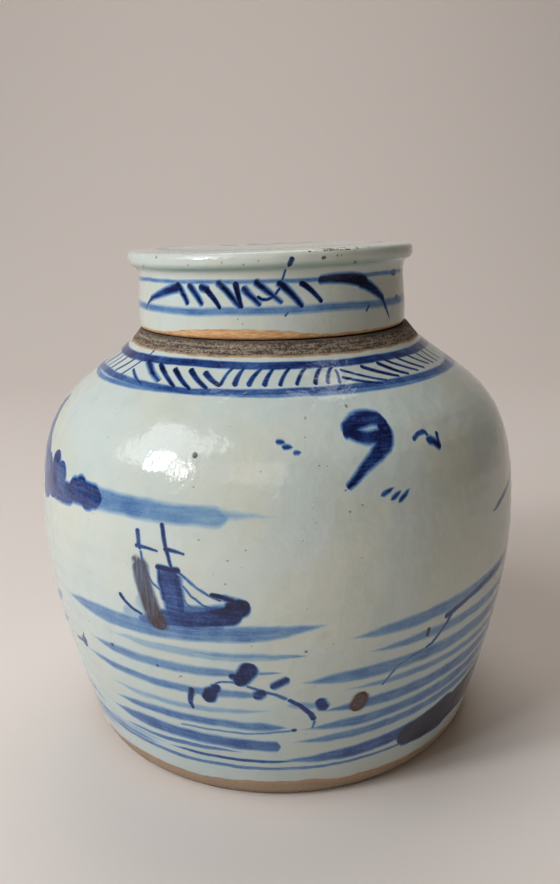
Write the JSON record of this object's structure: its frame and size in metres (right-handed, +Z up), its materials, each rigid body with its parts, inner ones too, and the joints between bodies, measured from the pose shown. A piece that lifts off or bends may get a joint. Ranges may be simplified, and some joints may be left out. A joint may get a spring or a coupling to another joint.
{
  "type": "ginger jar",
  "caption": "Bulbous lidded porcelain jar with a wide shoulder, short hidden neck, ring foot and a loose cap-shaped cover, painted in underglaze blue.",
  "frame": {"origin": "centre of the foot ring's rest plane", "axes": "+Z up along the jar's turning axis, -Y towards the painted side with the boat, +X to that side's right"},
  "size_m": [0.22, 0.22, 0.222],
  "materials": {
    "jar": "pale celadon-white gloss glaze with underglaze blue painting, bare clay at the foot and shoulder",
    "lid": "pale celadon-white gloss glaze with underglaze blue painting, bare clay at the skirt's foot"
  },
  "bodies": {
    "pot": {"jar": "jar"},
    "cover": {"lid": "lid"}
  },
  "joints": [
    {"name": "lid_lift", "type": "slide", "parent": "pot", "child": "cover", "axis": [0, 0, 1], "range_m": [0, 0.06]}
  ]
}
